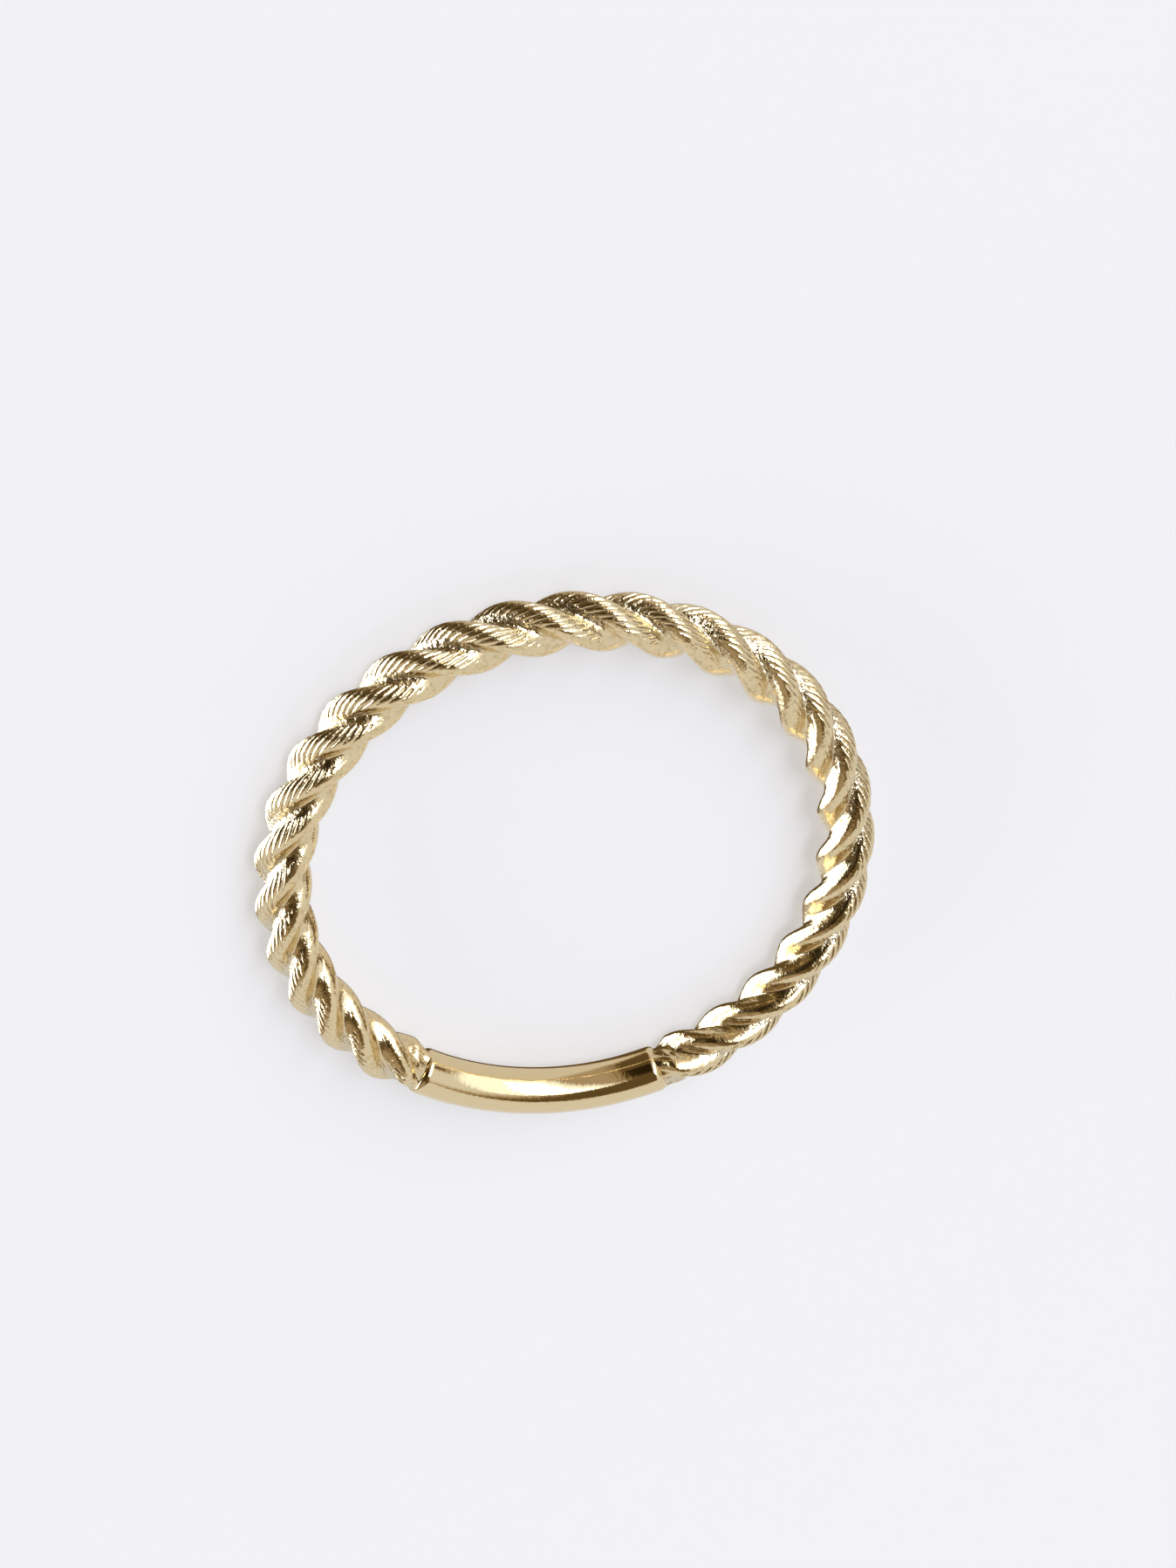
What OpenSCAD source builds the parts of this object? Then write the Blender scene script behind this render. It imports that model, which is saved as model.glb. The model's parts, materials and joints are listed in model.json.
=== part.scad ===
// Rope twist ring: a cast finger ring of three strands laid together, closed at the back by a plain round bar.
// The ring lies on its side: its axis is +Z, the surface under it is z = 0, and the bar is at +Y.
// An angle round the rope is measured from straight outwards, and grows towards the top.

/* [Finger hole] */
// Inside diameter of the ring, between the inner crowns of the strands
finger_d = 16.5; // [14:0.1:22]

/* [Rope] */
// Number of strands in the rope
strand_count = 3; // [2:1:5]
// Diameter of the rope over the crowns of its strands
rope_d = 1.85; // [1.5:0.05:2.6]
// Diameter of one strand
strand_d = 0.87; // [0.7:0.01:1.1]
// Diameter of the metal that fills the grooves between the strands
groove_d = 1.0; // [0.8:0.02:1.3]
// Length along the rope in which a strand goes once round it
lay_l = 5.7; // [4:0.1:12]
// Angle round the rope of one strand's crown, at the front of the ring
crown_a = 43; // [0:1:119]

/* [Sizing bar] */
// Length of the bar, along the middle of the rope that it replaces
bar_l = 8.8; // [4:0.1:14]
// Diameter of the bar, which lies on the same circle as the middle of the rope
bar_d = 1.6; // [1.2:0.05:2.4]
// Length over which the strands draw in to meet the bar
neck_l = 0.6; // [0.3:0.1:1.5]

/* [Fineness] */
// Points round each strand in a section of the rope
strand_points = 12; // [8:1:12]
// Sections along the rope in which one strand takes the place of the next
strand_sections = 6; // [4:1:6]

/* [Hidden] */

// Roundness of the bar's exact curves
$fn = 96;

// How deep the rope's end is buried in the bar, how far out it keeps that size, and the bar's wall round it
seat_l = 0.3;
collar_l = 0.08;
seat_wall = 0.05;
// Sections over which the rope draws in at each end
neck_sections = 3;

finger_r = finger_d / 2;
rope_r = rope_d / 2;
strand_r = strand_d / 2;
groove_r = groove_d / 2;
// Distance of a strand's middle from the rope's middle
strand_offset = rope_r - strand_r;
// Radius of the circle that the middle of the rope and the bar follows, and its height over the surface
thickest_r = max(rope_d, bar_d) / 2;
middle_r = finger_r + thickest_r;
middle_z = thickest_r;

// Half of the angle that one strand takes up in the rope
half_strand_a = 180 / strand_count;
// Degrees of azimuth for each millimetre along the rope's middle
a_per_mm = 180 / (PI * middle_r);
// Degrees that the strands turn round the rope for each millimetre along it
twist_per_mm = 360 / lay_l;
// Length of the rope between the two ends of the bar, and where its front is on that length
rope_l = 2 * PI * middle_r - bar_l;
front_l = rope_l / 2;

// How much smaller the rope's end is, as it is inside the bar
end_scale = min(1, (bar_d - 2 * seat_wall) / rope_d);

bar_a = bar_l * a_per_mm;

// Distance of the rope's surface from its middle, at angle a from the nearest strand's middle
function outline_r(a) =
    let (root = pow(strand_r, 2) - pow(strand_offset * sin(a), 2))
    root > 0 ? max(groove_r, strand_offset * cos(a) + sqrt(root)) : groove_r;

// How full the rope is at a distance from the bar: 0 on the collar, 1 past the neck, eased between
function fullness(from_bar) =
    let (share = min(1, max(0, (from_bar - collar_l) / (neck_l - collar_l))))
    share * share * (3 - 2 * share);

// Angle round the rope of the first strand's crown, at length s along the rope
function first_crown_a(s) = crown_a - twist_per_mm * (s - front_l);

// The points of the rope's section at length s, each strand's share in turn
function section(s) =
    let (
        size = end_scale + (1 - end_scale) * fullness(min(s, rope_l - s)),
        azimuth = 90 + bar_a / 2 + s * a_per_mm
    )
    [for (strand = [0:strand_count - 1], i = [0:strand_points - 1])
        let (
            a = half_strand_a * (2 * i / strand_points - 1),
            round_a = first_crown_a(s) + 2 * half_strand_a * strand + a,
            out = middle_r + size * outline_r(a) * cos(round_a)
        )
        [out * cos(azimuth), out * sin(azimuth), size * outline_r(a) * sin(round_a)]];

// The middle of the rope's section at one of its two ends
function end_middle(s) =
    let (azimuth = 90 + bar_a / 2 + s * a_per_mm)
    [middle_r * cos(azimuth), middle_r * sin(azimuth), 0];

// Lengths along the rope at which it has a section
plain_l = rope_l - 2 * neck_l;
plain_sections = ceil(plain_l * strand_count * strand_sections / lay_l);
neck_places = [for (i = [0:neck_sections - 1]) collar_l + (neck_l - collar_l) * i / neck_sections];
section_places = concat(
    [-seat_l],
    neck_places,
    [for (i = [0:plain_sections]) neck_l + plain_l * i / plain_sections],
    [for (i = [neck_sections - 1:-1:0]) rope_l - neck_places[i]],
    [rope_l + seat_l]
);

module rope() {
    ring_points = strand_count * strand_points;
    last = len(section_places) - 1;
    points = concat(
        [for (s = section_places) each section(s)],
        [end_middle(section_places[0]), end_middle(section_places[last])]
    );
    first_middle = len(points) - 2;
    last_middle = len(points) - 1;
    sides = [for (k = [0:last - 1], i = [0:ring_points - 1])
        let (
            next = (i + 1) % ring_points,
            here = k * ring_points,
            beyond = here + ring_points
        )
        each [[here + i, beyond + next, beyond + i], [here + i, here + next, beyond + next]]];
    caps = [for (i = [0:ring_points - 1])
        let (next = (i + 1) % ring_points, end = last * ring_points)
        each [[first_middle, next, i], [last_middle, end + i, end + next]]];
    polyhedron(points, concat(sides, caps));
}

module sizing_bar() {
    rotate([0, 0, 90 - bar_a / 2]) rotate_extrude(angle = bar_a) translate([middle_r, 0]) circle(d = bar_d);
}

// The whole ring, one casting
module rope_ring() {
    color("#dcc48c")
    translate([0, 0, middle_z])
    union() {
        rope();
        sizing_bar();
    }
}

rope_ring();
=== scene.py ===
"""Rope twist ring in cast yellow gold: three ridged strands laid together and a plain round bar.

Every piece is a surface worked out with numpy on a grid of two parameters. Lengths are in metres. The
ring lies on its side round the Z axis, with the bar at +Y. An angle round the rope is measured from
straight outwards, and grows towards the top.
"""
import json
import math

import bpy
import numpy as np
from mathutils import Matrix, Vector


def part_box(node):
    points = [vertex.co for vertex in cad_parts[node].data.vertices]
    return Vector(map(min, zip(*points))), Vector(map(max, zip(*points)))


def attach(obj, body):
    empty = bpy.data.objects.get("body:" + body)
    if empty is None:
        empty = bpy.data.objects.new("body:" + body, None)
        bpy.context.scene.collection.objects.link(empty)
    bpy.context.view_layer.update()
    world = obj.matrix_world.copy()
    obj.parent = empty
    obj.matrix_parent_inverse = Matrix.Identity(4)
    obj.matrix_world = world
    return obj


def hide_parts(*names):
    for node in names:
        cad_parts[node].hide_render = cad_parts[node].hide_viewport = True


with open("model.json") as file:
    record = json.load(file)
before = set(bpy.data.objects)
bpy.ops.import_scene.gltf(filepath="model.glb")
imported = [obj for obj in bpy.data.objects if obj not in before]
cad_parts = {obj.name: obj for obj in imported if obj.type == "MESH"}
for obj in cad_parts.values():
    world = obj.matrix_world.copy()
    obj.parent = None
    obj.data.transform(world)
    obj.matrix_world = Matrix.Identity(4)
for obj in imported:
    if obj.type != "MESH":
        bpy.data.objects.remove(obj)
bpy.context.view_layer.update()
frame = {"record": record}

MM = 0.001
TURN = 2 * math.pi

# The CAD model gives the finger hole's radius and the rope's thickness
NODE = "rope_ring"
hole = next(m for m in frame["record"]["mounts"] if m["name"] == "finger_hole")
FINGER_R = hole["dims"]["r_mm"] * MM
low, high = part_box(NODE)
ROPE_R = (high[2] - low[2]) / 2
MIDDLE_R = FINGER_R + ROPE_R
MIDDLE_Z = low[2] + ROPE_R

# The rope: three strands, laid right-handed. One goes once round the rope in the length LAY, and the
# first one's crown is at FRONT_CROWN where the ring's front is.
STRANDS = 3
STRAND_R = 0.435 * MM
STRAND_OFFSET = ROPE_R - STRAND_R
LAY = 5.7 * MM
FRONT_CROWN = math.radians(43)

# The sizing bar, round like the wire of the rope, and the last of its length, which is drawn in
BAR_L = 8.8 * MM
BAR_R = 0.8 * MM
BAR_END_R = 0.2 * MM
BAR_END_L = 0.26 * MM

# How the strands draw in to meet the bar: the neck, the collar that keeps the end's size, the seat
# inside the bar, and the bar's wall round the seat
NECK_L = 0.6 * MM
COLLAR_L = 0.08 * MM
SEAT_L = 0.3 * MM
SEAT_WALL = 0.05 * MM

BAR_A = BAR_L / MIDDLE_R
ROPE_L = TURN * MIDDLE_R - BAR_L
END_SCALE = (BAR_R - SEAT_WALL) / ROPE_R

# The ridges on a strand: their number, the length in which one goes once round it, and where the
# first valley lies, in widths of a ridge
RIDGES = 13
RIDGE_LAY = 2.51 * MM
RIDGE_SHIFT = 0.8
RIDGE_A = TURN / RIDGES
# Where the grid's columns lie across a ridge, in shares of its width from one valley to the next
RIDGE_PLACES = np.array([0, 0.07, 0.16, 0.32, 0.5, 0.68, 0.84, 0.93])
# The V between two ridges: its depth, half its width as a share of a ridge's, and how sharp its foot is
RIDGE_DEPTH = 0.054 * MM
VALLEY_HALF_WIDTH = 0.3
VALLEY_POWER = 1.4
# In shares of that depth: the mean, what is lost beside a groove, and how far a ridge's crown stands up
VALLEY_MEAN = 0.9
VALLEY_LOST = 0.4
RIDGE_CROWN = 0.1

# The angles round a strand, from its side that faces outwards, between which the ridges turn into the
# grainy skin beside a groove
BESIDE_FROM = math.radians(66)
BESIDE_TO = math.radians(96)

# The angles, from straight outwards, between which the cast surface turns into the smooth finger side
SMOOTH_FROM = math.radians(76)
SMOOTH_TO = math.radians(88)

# Half the angle round the rope that a groove's fillet takes up, as cast and on the finger side, and the
# crease in the middle of the second: its depth and half its width
FILLET_A = math.radians(14)
FILLET_A_SATIN = math.radians(23)
CREASE_DEPTH = 0.022 * MM
CREASE_A = math.radians(5)
# Mean radius of the metal that fills the grooves, how far inside the strands it runs on, and the angle
# over which it gets there
FILL_R = 0.6 * MM
FILL_INSET = 0.07 * MM
FILL_INSET_A = math.radians(12)

# The solder that fills the grooves beside the bar: its radius before the rope draws in, and its length
SOLDER_R = 0.8 * MM
SOLDER_L = 0.75 * MM

# Height of the casting skin's grains in the mesh, and its strength in the material's bump
SKIN_CROWN = 0.0027 * MM
SKIN_BESIDE = 0.009 * MM
SKIN_SATIN = 0.0012 * MM
SKIN_FILL = 0.016 * MM
BUMP_CROWN = 0.25
BUMP_GROOVE = 0.75
BUMP_SATIN = 0.2
BUMP_BAR = 0.04
# Height of the slow waves from wear on the rope and from hand polishing on the bar
WEAR = 0.004 * MM
POLISHING = 0.003 * MM
# How far the means of these lie below the plain surface, in heights, so that the ring keeps its size
SKIN_DROP = 0.8
WEAR_DROP = 1.2
POLISHING_DROP = 1
# How dark the smooth grooves of the finger side are, where 1 is a cast groove
GROOVE_SATIN = 0.2

# Layers of random waves: the share of each, the size of its grains, and its seed. The border's shares
# are in radians, the wobble's in widths of a ridge, and the valleys' in depths.
BORDER_WAVES = ((0.13, 0.45 * MM, 11), (0.11, 0.13 * MM, 12))
WOBBLE_WAVES = ((0.16, 0.5 * MM, 21), (0.07, 0.2 * MM, 22))
VALLEY_WAVES = ((0.35, 0.4 * MM, 23),)
SKIN_WAVES = ((1, 0.09 * MM, 31), (0.6, 0.05 * MM, 32))
WEAR_WAVES = ((1, 0.25 * MM, 33),)
FILL_WAVES = ((1, 0.13 * MM, 41), (0.6, 0.08 * MM, 42))
BAR_WAVES = ((1, 1.1 * MM, 51), (0.4, 0.4 * MM, 52))
# Length of the table of random numbers, a power of 2, and what mixes a cell's three numbers into a place
# in it
TABLE_L = 4096
CELL_MIX = np.array([73856093, 19349663, 83492791])

# How fine the grids are, and how much closer the bar's rows lie towards its ends
STRAND_ROWS = 900
FILL_ROWS = 1250
FILL_COLUMNS = 72
BAR_ROWS = 150
BAR_COLUMNS = 96
BAR_CROWDING = 1.7


def ease(x, start, end):
    """0 before start, 1 past end, and 3t^2 - 2t^3 of the share t between them."""
    t = np.clip((x - start) / (end - start), 0, 1)
    return t * t * (3 - 2 * t)


def blend(first, second, share):
    """The first value where the share is 0, the second where it is 1, and in proportion between."""
    return first + (second - first) * share


def turned(a):
    """The same angle, brought between -pi and pi."""
    return (a + math.pi) % TURN - math.pi


def grain(points, size, seed):
    """Smooth random values from -1 to 1 at each point.

    A grid of cubes of the given size has a random number at each corner, and a point takes the mean of
    the 8 corners round it, weighted by the eased distance to each.
    """
    table = np.random.default_rng(seed).uniform(-1, 1, TABLE_L)
    place = points / size
    cell = np.floor(place).astype(np.int64)
    share = place - cell
    share = share * share * (3 - 2 * share)
    total = np.zeros(points.shape[:-1])
    for corner in np.ndindex(2, 2, 2):
        weight = np.prod(np.where(corner, share, 1 - share), axis=-1)
        x, y, z = np.moveaxis((cell + corner) * CELL_MIX, -1, 0)
        total += weight * table[(x ^ y ^ z) & (TABLE_L - 1)]
    return total


def waves(points, layers):
    """The sum of layers of grain, each multiplied by its share."""
    return sum(share * grain(points, size, seed) for share, size, seed in layers)


def round_ring(out, up, azimuth):
    """Points at out from the Z axis, at up over the rope's middle plane, at an azimuth."""
    out, up, azimuth = np.broadcast_arrays(out, up, azimuth)
    return np.stack([out * np.cos(azimuth), out * np.sin(azimuth), MIDDLE_Z + up], axis=-1)


def rope_frame(s):
    """Azimuth, size and first crown's angle of the rope's section at length s along it.

    The section keeps the size END_SCALE on the collar at each end, and is eased to full size past the neck.
    """
    size = blend(END_SCALE, 1, ease(np.minimum(s, ROPE_L - s), COLLAR_L, NECK_L))
    azimuth = math.pi / 2 + BAR_A / 2 + s / MIDDLE_R
    crown = FRONT_CROWN - TURN * (s - ROPE_L / 2) / LAY
    return azimuth, size, crown


def make_piece(name, grid, along, around, girth, values):
    """A closed tube from a grid of points: rows along it, columns once round it, and a fan on each end.

    The columns turn from straight outwards towards the top while the rows go round +Z, so the cross
    product of a row's and a column's direction points out of the tube. Its UV map is in millimetres:
    along for each row, and around for each column, which grows by girth in a whole turn.
    """
    rows, columns = grid.shape[:2]
    row, column = np.meshgrid(np.arange(rows - 1), np.arange(columns), indexing="ij")
    here, beside = row * columns + column, row * columns + (column + 1) % columns
    quads = np.stack([here, here + columns, beside + columns, beside], -1)

    # The two points past the grid are the middles of its ends
    first, last = rows * columns, rows * columns + 1
    rim = np.arange(columns)
    next_rim = (rim + 1) % columns
    last_row = (rows - 1) * columns
    fans = np.concatenate([
        np.stack([np.full(columns, first), rim, next_rim], -1),
        np.stack([np.full(columns, last), last_row + next_rim, last_row + rim], -1),
    ])
    points = np.concatenate([grid.reshape(-1, 3), [grid[0].mean(0), grid[-1].mean(0)]])
    corners = np.concatenate([quads.ravel(), fans.ravel()])
    starts = np.concatenate([
        np.arange(quads.size // 4) * 4,
        quads.size + np.arange(len(fans)) * 3,
    ])
    mesh = bpy.data.meshes.new(name)
    mesh.vertices.add(len(points))
    mesh.vertices.foreach_set("co", points.ravel())
    mesh.loops.add(len(corners))
    mesh.loops.foreach_set("vertex_index", corners)
    mesh.polygons.add(len(starts))
    mesh.polygons.foreach_set("loop_start", starts)
    mesh.polygons.foreach_set("use_smooth", np.ones(len(starts), bool))
    mesh.update(calc_edges=True)

    # A face's last column has the next turn's value, so that no face runs back across the map
    around = np.concatenate([around, around[:1] + girth])
    corner_uv = np.stack([
        along[np.stack([row, row + 1, row + 1, row], -1)],
        around[np.stack([column, column, column + 1, column + 1], -1)],
    ], -1).reshape(-1, 2)
    fan_uv = np.zeros((fans.size, 2))
    layer = mesh.uv_layers.new(name="UVMap")
    layer.uv.foreach_set("vector", np.concatenate([corner_uv, fan_uv]).ravel())
    for key, value in values.items():
        attribute = mesh.attributes.new(key, "FLOAT", "POINT")
        ends = [value[0].mean(), value[-1].mean()]
        attribute.data.foreach_set("value", np.concatenate([value.ravel(), ends]))
    mesh.validate()
    piece = bpy.data.objects.new(name, mesh)
    bpy.context.scene.collection.objects.link(piece)
    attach(piece, "root")
    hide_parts(NODE)
    return piece


def finger_side(place, lies, faces):
    """How far the surface is smoothed on the finger's side of the rope: 0 as cast, 1 smooth.

    The angle is the way the surface faces, drawn a third of the way towards where it lies round the rope.
    It is eased from SMOOTH_FROM to SMOOTH_TO, and smooth random values shift it.
    """
    angle = np.abs(turned(faces + turned(lies - faces) / 3))
    return ease(angle + waves(place, BORDER_WAVES), SMOOTH_FROM, SMOOTH_TO)


def strand_outline(a):
    """A plain strand's surface at angle a from its crown: distance from the rope's middle, and its slope.

    The distance is e cos a + sqrt(R^2 - e^2 sin^2 a), for a strand of radius R whose middle lies at e.
    """
    root = np.sqrt(STRAND_R ** 2 - (STRAND_OFFSET * np.sin(a)) ** 2)
    slope = -STRAND_OFFSET * np.sin(a) - STRAND_OFFSET ** 2 * np.sin(a) * np.cos(a) / root
    return STRAND_OFFSET * np.cos(a) + root, slope


def make_strand(number):
    """One strand: a round tube on a helix round the rope's middle, with ridges on a steeper helix.

    At length s along the rope and angle b round the strand, a point lies at
    offset * (cos t, sin t) + r * (cos(t + b), sin(t + b)) from the rope's middle, where t is the strand's
    own angle round the rope. The grid's columns follow the ridges: b = v + 2 pi s / RIDGE_LAY, with a
    little random wobble.

    The radius r is the strand's own, less a valley between two ridges. Its depth is
    RIDGE_DEPTH * ((1 - d / VALLEY_HALF_WIDTH)^VALLEY_POWER - RIDGE_CROWN * sin(pi d)), where d is the
    distance from its foot in widths of a ridge. It fades on the finger side, and skin and wear are added.
    """
    s = np.linspace(-SEAT_L, ROPE_L + SEAT_L, STRAND_ROWS)[:, None]
    x = (np.arange(RIDGES)[:, None] + RIDGE_PLACES).ravel()[None, :]
    v = RIDGE_A * (x + RIDGE_SHIFT)
    azimuth, size, crown = rope_frame(s)
    t = crown + TURN * number / STRANDS
    b = v + TURN * (s - ROPE_L / 2) / RIDGE_LAY

    plain_out = STRAND_OFFSET * np.cos(t) + STRAND_R * np.cos(t + b)
    plain_up = STRAND_OFFSET * np.sin(t) + STRAND_R * np.sin(t + b)
    place = round_ring(MIDDLE_R + plain_out, plain_up, azimuth)
    satin = finger_side(place, np.arctan2(plain_up, plain_out), t + b)
    b = b + RIDGE_A * waves(place, WOBBLE_WAVES)
    beside = ease(np.abs(turned(b)), BESIDE_FROM, BESIDE_TO)

    from_valley = 0.5 - np.abs((x % 1) - 0.5)
    valley = (1 - np.minimum(from_valley / VALLEY_HALF_WIDTH, 1)) ** VALLEY_POWER
    valley = valley - RIDGE_CROWN * np.sin(math.pi * from_valley)
    depth = RIDGE_DEPTH * (VALLEY_MEAN + waves(place, VALLEY_WAVES))
    depth = depth * (1 - VALLEY_LOST * beside) * (1 - satin)
    skin_height = blend(blend(SKIN_CROWN, SKIN_BESIDE, beside), SKIN_SATIN, satin)
    skin = skin_height * (waves(place, SKIN_WAVES) - SKIN_DROP)
    wear = WEAR * (waves(place, WEAR_WAVES) - WEAR_DROP)
    r = STRAND_R - depth * valley + skin + wear

    out = STRAND_OFFSET * np.cos(t) + r * np.cos(t + b)
    up = STRAND_OFFSET * np.sin(t) + r * np.sin(t + b)
    grid = round_ring(MIDDLE_R + size * out, size * up, azimuth)
    values = {
        "satin": satin,
        "polish": np.zeros_like(satin),
        "groove": np.maximum(np.clip(valley, 0, 1) * (1 - satin), beside),
        "skin": blend(blend(BUMP_CROWN, BUMP_GROOVE, beside), BUMP_SATIN, satin),
    }
    name = f"strand_{number + 1}"
    return make_piece(name, grid, s[:, 0] / MM, v[0] * STRAND_R / MM, TURN * STRAND_R / MM, values)


def make_groove_fill():
    """The cast metal between the strands: a grainy tube with a fillet in each groove, tangent to two strands.

    At angle g from the groove's middle the radius is bottom + k g^2, where k and bottom make it touch the
    strand's outline, with the same slope, at the fillet's end. Past that it runs inside the strand. On the
    finger side the fillet is wider and has a fine crease in its middle. Beside the bar, solder raises it to
    a round of radius SOLDER_R.
    """
    s = np.linspace(-SEAT_L, ROPE_L + SEAT_L, FILL_ROWS)[:, None]
    v = np.arange(FILL_COLUMNS)[None, :] * TURN / FILL_COLUMNS
    azimuth, size, crown = rope_frame(s)
    a = v + crown
    half_strand_a = math.pi / STRANDS
    from_crown = np.abs((v + half_strand_a) % (2 * half_strand_a) - half_strand_a)
    g = half_strand_a - from_crown
    place = round_ring(MIDDLE_R + FILL_R * np.cos(a), FILL_R * np.sin(a), azimuth)
    satin = finger_side(place, a, a)

    fillet = blend(FILLET_A, FILLET_A_SATIN, satin)
    touch, slope = strand_outline(half_strand_a - fillet)
    k = -slope / (2 * fillet)
    crease = CREASE_DEPTH * satin * np.exp(-(g / CREASE_A) ** 2)
    groove = touch - k * (fillet ** 2 - g ** 2) - crease
    reach = np.minimum(from_crown, half_strand_a - fillet)
    inside = strand_outline(reach)[0] - FILL_INSET * ease(g - fillet, 0, FILL_INSET_A)
    plain = np.where(g < fillet, groove, inside)
    solder = 1 - ease(np.minimum(s, ROPE_L - s), COLLAR_L, SOLDER_L)
    plain = plain + solder * np.maximum(SOLDER_R - plain, 0)

    place = round_ring(MIDDLE_R + plain * np.cos(a), plain * np.sin(a), azimuth)
    skin = SKIN_FILL * waves(place, FILL_WAVES)
    wear = WEAR * (waves(place, WEAR_WAVES) - WEAR_DROP)
    r = plain + blend(skin, wear, satin)
    grid = round_ring(MIDDLE_R + size * r * np.cos(a), size * r * np.sin(a), azimuth)
    values = {
        "satin": satin,
        "polish": np.zeros_like(satin),
        "groove": blend(1, GROOVE_SATIN, satin),
        "skin": blend(BUMP_GROOVE, BUMP_SATIN, satin),
    }
    return make_piece("groove_fill", grid, s[:, 0] / MM, v[0] * FILL_R / MM, TURN * FILL_R / MM, values)


def make_sizing_bar():
    """The bar: a circle carried round the ring, drawn in by a quarter of an ellipse at each end.

    Its radius is BAR_R less BAR_END_R * (1 - sqrt(1 - m^2)), where m grows from 0 to 1 over the last
    BAR_END_L of its length, less a slow random wave of a few thousandths of a millimetre from hand
    polishing.
    """
    half = BAR_A / 2
    along = np.linspace(-1, 1, BAR_ROWS)[:, None]
    azimuth = math.pi / 2 + half * np.sign(along) * (1 - (1 - np.abs(along)) ** BAR_CROWDING)
    from_end = (half - np.abs(azimuth - math.pi / 2)) * MIDDLE_R
    missing = 1 - np.clip(from_end / BAR_END_L, 0, 1)
    turn = np.arange(BAR_COLUMNS)[None, :] * TURN / BAR_COLUMNS
    place = round_ring(MIDDLE_R + BAR_R * np.cos(turn), BAR_R * np.sin(turn), azimuth)
    r = BAR_R - BAR_END_R * (1 - np.sqrt(1 - missing ** 2))
    r = r + POLISHING * (waves(place, BAR_WAVES) - POLISHING_DROP)
    grid = round_ring(MIDDLE_R + r * np.cos(turn), r * np.sin(turn), azimuth)
    ones = np.ones_like(r)
    values = {"satin": 0 * ones, "polish": ones, "groove": 0 * ones, "skin": BUMP_BAR * ones}
    length = azimuth[:, 0] * MIDDLE_R / MM
    return make_piece("sizing_bar", grid, length, turn[0] * BAR_R / MM, TURN * BAR_R / MM, values)


def linear(hex_colour):
    """The linear colour of an sRGB hex value: each part c becomes ((c + 0.055) / 1.055) ^ 2.4."""
    parts = [int(hex_colour[i:i + 2], 16) / 255 for i in (1, 3, 5)]
    return [c / 12.92 if c <= 0.04045 else ((c + 0.055) / 1.055) ** 2.4 for c in parts] + [1.0]


def add(tree, kind, settings=None, **inputs):
    """A node of the given kind, with its settings, and each input set to a value or linked to a socket.

    An input is given by its name, with _ for a space, or by i and its number where two share a name.
    """
    node = tree.nodes.new(kind)
    for key, value in (settings or {}).items():
        setattr(node, key, value)
    for key, value in inputs.items():
        numbered = key[0] == "i" and key[1:].isdigit()
        socket = node.inputs[int(key[1:]) if numbered else key.replace("_", " ")]
        if isinstance(value, bpy.types.NodeSocket):
            tree.links.new(value, socket)
        else:
            socket.default_value = value
    return node


def new_material(name):
    """An empty material and its node tree."""
    material = bpy.data.materials.new(name)
    material.use_nodes = True
    material.node_tree.nodes.clear()
    return material, material.node_tree


# The gold's colours: where it is clean, in the grooves, and in the marks of the finger side
GOLD = linear("#ebd5a5")
GOLD_GROOVE = linear("#dfcfab")
GOLD_MARK = linear("#c0a268")
# Its roughness from the smoothest patches to the roughest: as cast and tumbled, on the finger side, and
# on the polished bar
AS_CAST = (0.10, 0.26)
WORN = (0.12, 0.18)
POLISHED = (0.04, 0.08)
# Sizes of its patterns
MARK_SIZE = 0.2 * MM
PATCH_SIZE = 0.35 * MM
COARSE_SKIN_SIZE = 0.13 * MM
FINE_SKIN_SIZE = 0.06 * MM
SKIN_BUMP = 0.08 * MM


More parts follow.
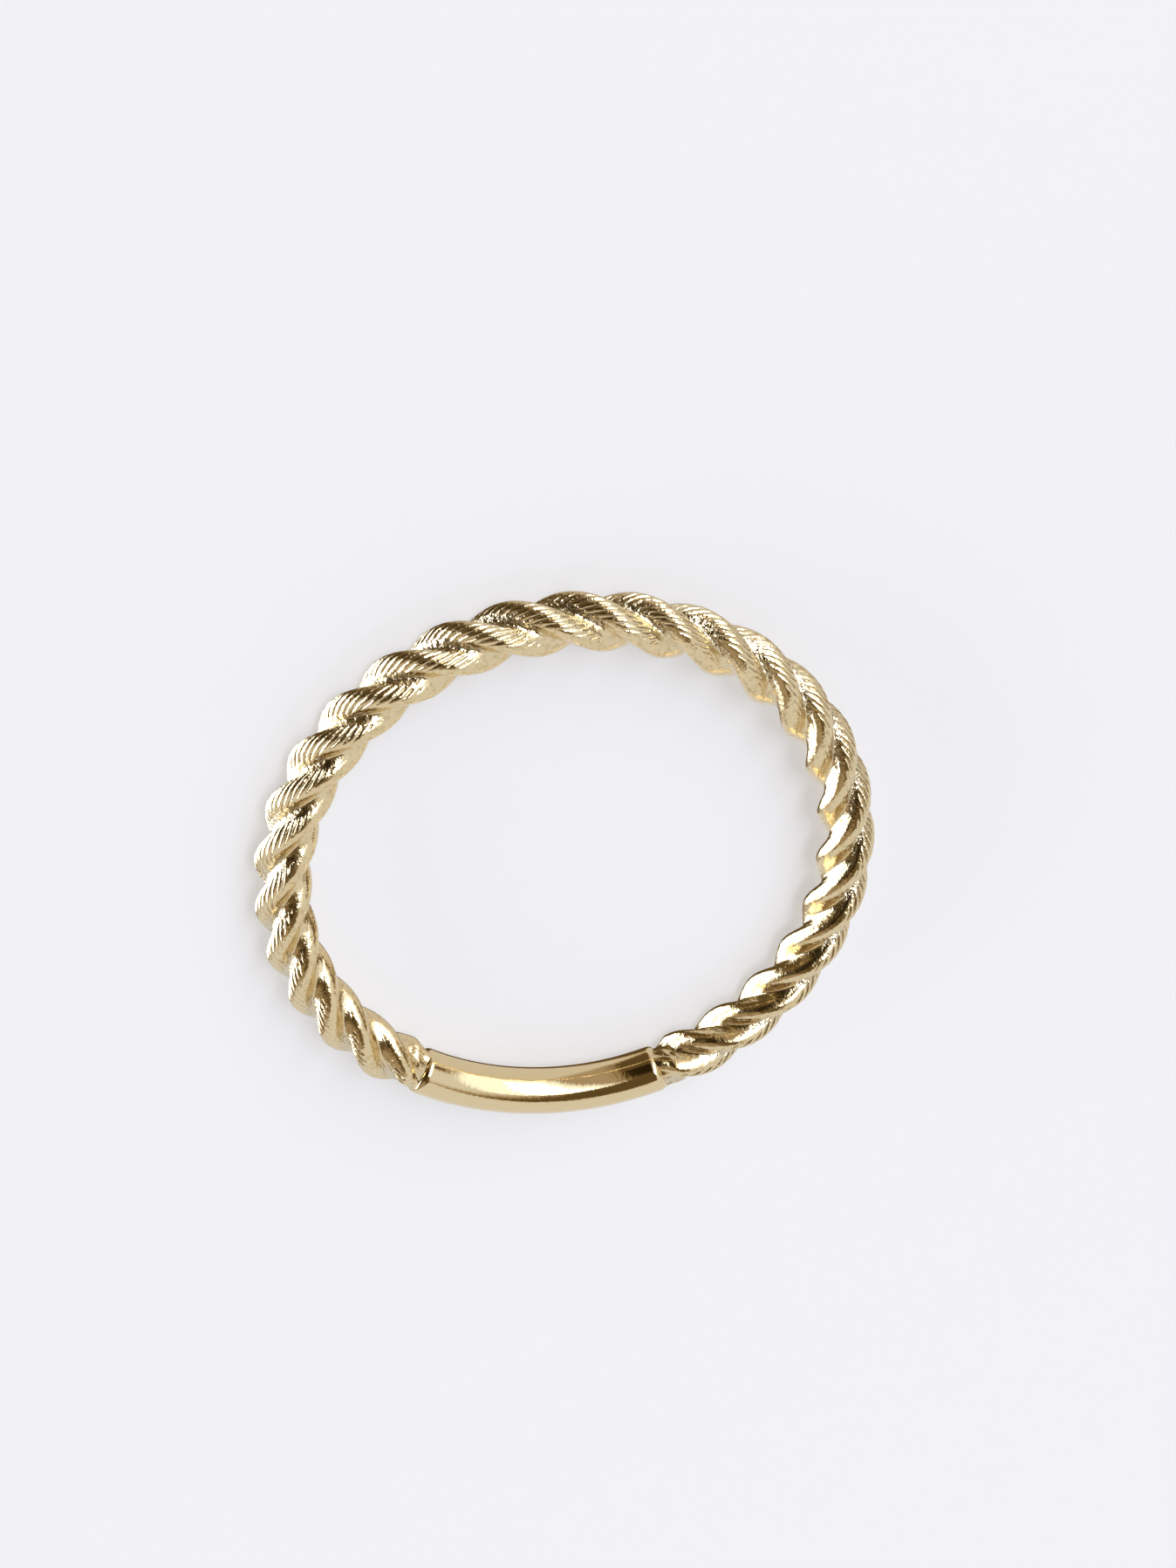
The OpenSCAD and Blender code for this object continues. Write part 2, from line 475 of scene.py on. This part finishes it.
def cast_yellow_gold():
    """14 carat yellow gold, lost-wax cast and tumbled, its finger side worn satin and its bar polished.

    It gives pale warm reflections: broken into glints by the casting skin, soft on the finger side with
    small marks, and clear on the bar.
    """
    material, tree = new_material("cast_polished_yellow_gold")
    satin = add(tree, "ShaderNodeAttribute", {"attribute_name": "satin"}).outputs["Fac"]
    polish = add(tree, "ShaderNodeAttribute", {"attribute_name": "polish"}).outputs["Fac"]
    groove = add(tree, "ShaderNodeAttribute", {"attribute_name": "groove"}).outputs["Fac"]
    skin = add(tree, "ShaderNodeAttribute", {"attribute_name": "skin"}).outputs["Fac"]
    place = add(tree, "ShaderNodeTexCoord").outputs["Object"]

    # Sulphur and polish left in the grooves dull the gold a little
    clean = add(tree, "ShaderNodeMix", {"data_type": "RGBA"},
                Factor=groove, i6=GOLD, i7=GOLD_GROOVE).outputs["Result"]

    # Pits and small marks on the finger side hold what the skin leaves there, in spots of 0.05 to 0.2 mm
    marks = add(tree, "ShaderNodeTexNoise",
                Vector=place, Scale=1 / MARK_SIZE, Detail=4.0, Roughness=0.7).outputs["Fac"]
    spots = add(tree, "ShaderNodeMapRange", Value=marks, From_Min=0.5, From_Max=0.8).outputs["Result"]
    spots = add(tree, "ShaderNodeMath", {"operation": "MULTIPLY"}, i0=spots, i1=satin).outputs["Value"]
    colour = add(tree, "ShaderNodeMix", {"data_type": "RGBA"},
                 Factor=spots, i6=clean, i7=GOLD_MARK).outputs["Result"]

    # Tumbling leaves soft patches a few tenths of a millimetre wide
    patches = add(tree, "ShaderNodeTexNoise", Vector=place, Scale=1 / PATCH_SIZE, Detail=3.0).outputs["Fac"]
    as_cast, worn, polished = [
        add(tree, "ShaderNodeMapRange", Value=patches, To_Min=smoothest, To_Max=roughest).outputs["Result"]
        for smoothest, roughest in (AS_CAST, WORN, POLISHED)]
    rope = add(tree, "ShaderNodeMix", {"data_type": "FLOAT"},
               Factor=satin, i2=as_cast, i3=worn).outputs["Result"]
    roughness = add(tree, "ShaderNodeMix", {"data_type": "FLOAT"},
                    Factor=polish, i2=rope, i3=polished).outputs["Result"]

    # Casting skin: grains of 0.06 to 0.13 mm, too fine for the mesh, deepest in the grooves
    coarse = add(tree, "ShaderNodeTexNoise",
                 Vector=place, Scale=1 / COARSE_SKIN_SIZE, Detail=1.0).outputs["Fac"]
    fine = add(tree, "ShaderNodeTexNoise",
               Vector=place, Scale=1 / FINE_SKIN_SIZE, Detail=1.0).outputs["Fac"]
    grains = add(tree, "ShaderNodeMix", {"data_type": "FLOAT"},
                 Factor=0.3, i2=coarse, i3=fine).outputs["Result"]
    height = add(tree, "ShaderNodeMath", {"operation": "MULTIPLY"}, i0=grains, i1=skin).outputs["Value"]
    bump = add(tree, "ShaderNodeBump", Strength=1.0, Distance=SKIN_BUMP, Height=height).outputs["Normal"]

    metal = add(tree, "ShaderNodeBsdfPrincipled",
                Base_Color=colour, Roughness=roughness, Metallic=1.0, Normal=bump)
    add(tree, "ShaderNodeOutputMaterial", Surface=metal.outputs["BSDF"])
    return material


def white_board():
    """Matt white board, which gives the photo's plain bright ground."""
    material, tree = new_material("matt_white_board")
    board = add(tree, "ShaderNodeBsdfPrincipled", Base_Color=linear("#b9b8b6"), Roughness=0.7,
                Emission_Color=linear("#edecee"), Emission_Strength=0.48)
    add(tree, "ShaderNodeOutputMaterial", Surface=board.outputs["BSDF"])
    return material


# The camera: a 50 mm lens at the photo's angle to the ring, which shows the rope's front at the top
LENS_MM = 50
SENSOR_MM = 36
NEAREST = 1 * MM
CAMERA_PLACE = Vector((14.4, -39.3, 57.3)) * MM
CAMERA_AIM = Vector((-0.15, -3.37, 0.925)) * MM
CAMERA_ROLL = math.radians(162.6)


def place_camera():
    """The camera, turned from its place towards its aim and then rolled round its line of sight."""
    lens = bpy.data.cameras.new("camera")
    lens.lens = LENS_MM
    lens.sensor_width = SENSOR_MM
    lens.clip_start = NEAREST
    camera = bpy.data.objects.new("camera", lens)
    bpy.context.scene.collection.objects.link(camera)
    turn = (CAMERA_AIM - CAMERA_PLACE).to_track_quat("-Z", "Y").to_matrix().to_4x4()
    camera.matrix_world = Matrix.Translation(CAMERA_PLACE) @ turn @ Matrix.Rotation(CAMERA_ROLL, 4, "Z")
    bpy.context.scene.camera = camera


# Half the width of the square floor
FLOOR_HALF = 600 * MM


def place_floor():
    """A flat square at z = 0, round the ring."""
    mesh = bpy.data.meshes.new("floor")
    half = FLOOR_HALF
    corners = [(-half, -half, 0), (half, -half, 0), (half, half, 0), (-half, half, 0)]
    mesh.from_pydata(corners, [], [(0, 1, 2, 3)])
    floor = bpy.data.objects.new("floor", mesh)
    bpy.context.scene.collection.objects.link(floor)
    mesh.materials.append(white_board())
    # The gold mirrors the room's lower half instead, because the photo's ring stands clear of its ground
    floor.visible_glossy = False


# The room round the ring, as the gold reflects it: a white wall behind, windows in front to the left and
# low on the right, and darkness round the camera. Directions are an azimuth from -Y towards +X and an
# elevation, in degrees.
ROOM = 0.13
WALL_MIDDLE = (210, 5)
WALL = 0.93
# Cosines of the angle from the wall's middle between which the room turns into the wall
WALL_EDGE = (0.40, 0.52)
# For each panel: azimuth and elevation of its middle, half its width and half its height, all in degrees,
# the softness of its edge, and its brightness
DARK_CORNER = (68, 44, 46, 21, 0.12, 0.025)
PANELS = {
    "left_window": (-17, 42, 6, 27, 0.05, 13.0),
    "left_glow": (-24, 34, 20, 38, 0.12, 1.7),
    "left_floor": (-40, -36, 42, 46, 0.25, 0.85),
    "left_curtain": (5, 10, 12, 58, 0.08, 0.5),
    "left_wall": (-72, 50, 30, 26, 0.2, 0.95),
    "right_window": (106, -19, 35, 40, 0.2, 4.8),
    "right_wall": (133, 48, 20, 26, 0.25, 0.45),
    "shelf": (100, 43, 34, 2, 0.03, 0.4),
}
# Least cosine of the angle from a panel's middle at which the panel is seen
PANEL_FRONT = 0.05
# The room's dim places are warm and its bright ones cool, and the ground is what the camera sees
WARM = linear("#ffd27c")
COOL = linear("#ebf1ff")
GROUND = linear("#eceef1")


def direction(azimuth, elevation):
    """The unit vector at an azimuth from -Y towards +X and an elevation, in degrees."""
    a, e = math.radians(azimuth), math.radians(elevation)
    return Vector((math.sin(a) * math.cos(e), -math.cos(a) * math.cos(e), math.sin(e)))


def soft_panel(tree, toward, panel):
    """How much a direction belongs to a rectangular panel: 1 inside, 0 outside, eased over its soft edge.

    The direction is projected onto the plane that faces the panel's middle, and its distances from the
    middle, across and up, are compared with the panel's half width and height there.
    """
    azimuth, elevation, width, height, soft, _ = panel
    ahead = direction(azimuth, elevation)
    across = direction(azimuth + 90, 0)
    depth = add(tree, "ShaderNodeVectorMath", {"operation": "DOT_PRODUCT"}, i0=toward, i1=ahead)
    depth = depth.outputs["Value"]
    share = add(tree, "ShaderNodeMath", {"operation": "GREATER_THAN"}, i0=depth, i1=PANEL_FRONT)
    share = share.outputs["Value"]
    for side, half in ((across, width), (ahead.cross(across), height)):
        reach = math.tan(math.radians(half))
        along = add(tree, "ShaderNodeVectorMath", {"operation": "DOT_PRODUCT"}, i0=toward, i1=side)
        off = add(tree, "ShaderNodeMath", {"operation": "DIVIDE"}, i0=along.outputs["Value"], i1=depth)
        off = add(tree, "ShaderNodeMath", {"operation": "ABSOLUTE"}, i0=off.outputs["Value"])
        inside = add(tree, "ShaderNodeMapRange", {"interpolation_type": "SMOOTHSTEP"},
                     Value=off.outputs["Value"], From_Min=reach + soft, From_Max=reach - soft)
        share = add(tree, "ShaderNodeMath", {"operation": "MULTIPLY"},
                    i0=share, i1=inside.outputs["Result"]).outputs["Value"]
    return share


def light_world():
    """A bright room, seen only in reflections: the camera itself sees a plain pale ground all round.

    A direction's brightness is the highest of the panels' and of the plain room's, which is ROOM, darker in
    the dark corner, and eased to WALL towards the wall's middle.
    """
    world = bpy.data.worlds.new("studio")
    bpy.context.scene.world = world
    world.use_nodes = True
    tree = world.node_tree
    tree.nodes.clear()
    toward = add(tree, "ShaderNodeTexCoord").outputs["Generated"]
    corner = soft_panel(tree, toward, DARK_CORNER)
    room = add(tree, "ShaderNodeMapRange", Value=corner, To_Min=ROOM, To_Max=DARK_CORNER[-1])
    facing = add(tree, "ShaderNodeVectorMath", {"operation": "DOT_PRODUCT"},
                 i0=toward, i1=direction(*WALL_MIDDLE))
    total = add(tree, "ShaderNodeMapRange", {"interpolation_type": "SMOOTHSTEP"},
                Value=facing.outputs["Value"], From_Min=WALL_EDGE[0], From_Max=WALL_EDGE[1],
                To_Min=room.outputs["Result"], To_Max=WALL).outputs["Result"]
    for panel in PANELS.values():
        share = soft_panel(tree, toward, panel)
        light = add(tree, "ShaderNodeMath", {"operation": "MULTIPLY"}, i0=share, i1=panel[-1])
        total = add(tree, "ShaderNodeMath", {"operation": "MAXIMUM"},
                    i0=total, i1=light.outputs["Value"]).outputs["Value"]
    hue = add(tree, "ShaderNodeMix", {"data_type": "RGBA"}, Factor=total, i6=WARM, i7=COOL)
    room = add(tree, "ShaderNodeBackground", Color=hue.outputs["Result"], Strength=total)
    ground = add(tree, "ShaderNodeBackground", Color=GROUND, Strength=1.0)
    seen = add(tree, "ShaderNodeLightPath").outputs["Is Camera Ray"]
    both = add(tree, "ShaderNodeMixShader",
               i0=seen, i1=room.outputs["Background"], i2=ground.outputs["Background"])
    add(tree, "ShaderNodeOutputWorld", Surface=both.outputs["Shader"])


place_camera()
place_floor()
light_world()
bpy.context.scene.view_settings.view_transform = "Standard"

gold = cast_yellow_gold()
pieces = [make_strand(number) for number in range(STRANDS)]
pieces.append(make_groove_fill())
pieces.append(make_sizing_bar())
for piece in pieces:
    piece.data.materials.append(gold)
